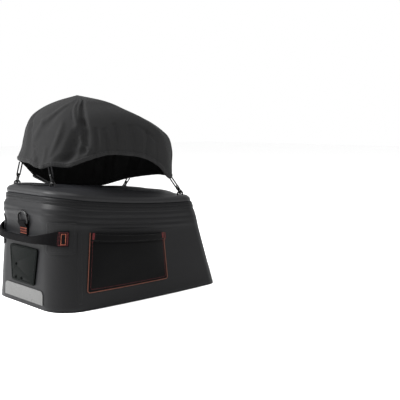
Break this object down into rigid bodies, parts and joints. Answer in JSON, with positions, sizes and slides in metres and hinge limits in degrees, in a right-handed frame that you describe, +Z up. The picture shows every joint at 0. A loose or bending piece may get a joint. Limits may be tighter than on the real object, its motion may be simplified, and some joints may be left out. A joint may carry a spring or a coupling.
{
  "type": "bicycle trunk bag with cargo cover",
  "caption": "Padded rear-rack bag for a bicycle with a zipped lid, side pocket, rear grab handle and a stretch cover hooked over its lid.",
  "frame": {"origin": "middle of the flat base, on the surface that the bag rests on", "axes": "+X towards the front of the bicycle, +Y across it to the left, +Z up; the rear face with the light panel looks along -X and the pocket is on the -Y side"},
  "size_m": [0.3657, 0.2409, 0.353],
  "materials": {
    "coated_fabric": "charcoal coated fabric, matte with a soft sheen",
    "pocket_fabric": "smooth black fabric, matte",
    "webbing": "woven, matte",
    "orange_piping": "matte",
    "light_panel_rubber": "matte",
    "reflective_film": "pale silver, satin",
    "black_plastic": "satin",
    "stretch_fabric": "stretch knit, matte",
    "hem_elastic": "elastic binding, matte",
    "elastic_cord": "braided, matte"
  },
  "bodies": {
    "bag": {"body_shell": "coated_fabric", "lid": "coated_fabric", "zip_tape": "pocket_fabric", "pocket": "pocket_fabric", "pocket_piping": "orange_piping", "handle_patch_near": "coated_fabric", "handle_patch_far": "coated_fabric", "grab_handle": "webbing", "ring_tab": "webbing", "light_panel": "light_panel_rubber", "reflector_strip": "reflective_film", "cover_shell": "stretch_fabric", "cover_hem": "hem_elastic", "corner_loop_1": "elastic_cord", "corner_loop_2": "elastic_cord", "corner_loop_3": "elastic_cord", "corner_loop_4": "elastic_cord", "corner_clip_1": "black_plastic", "corner_clip_2": "black_plastic", "corner_clip_3": "black_plastic", "corner_clip_4": "black_plastic", "lid_anchor_1": "black_plastic", "lid_anchor_2": "black_plastic", "lid_anchor_3": "black_plastic", "lid_anchor_4": "black_plastic", "lid_cord": "elastic_cord", "pull_loop": "elastic_cord"},
    "d_ring": {"d_ring": "black_plastic"}
  },
  "joints": [
    {"name": "d_ring_hinge", "type": "hinge", "parent": "bag", "child": "d_ring", "pos_m": [-0.17447, 0, 0.1385], "axis": [0, -1, 0], "range_deg": [-3, 130]}
  ]
}
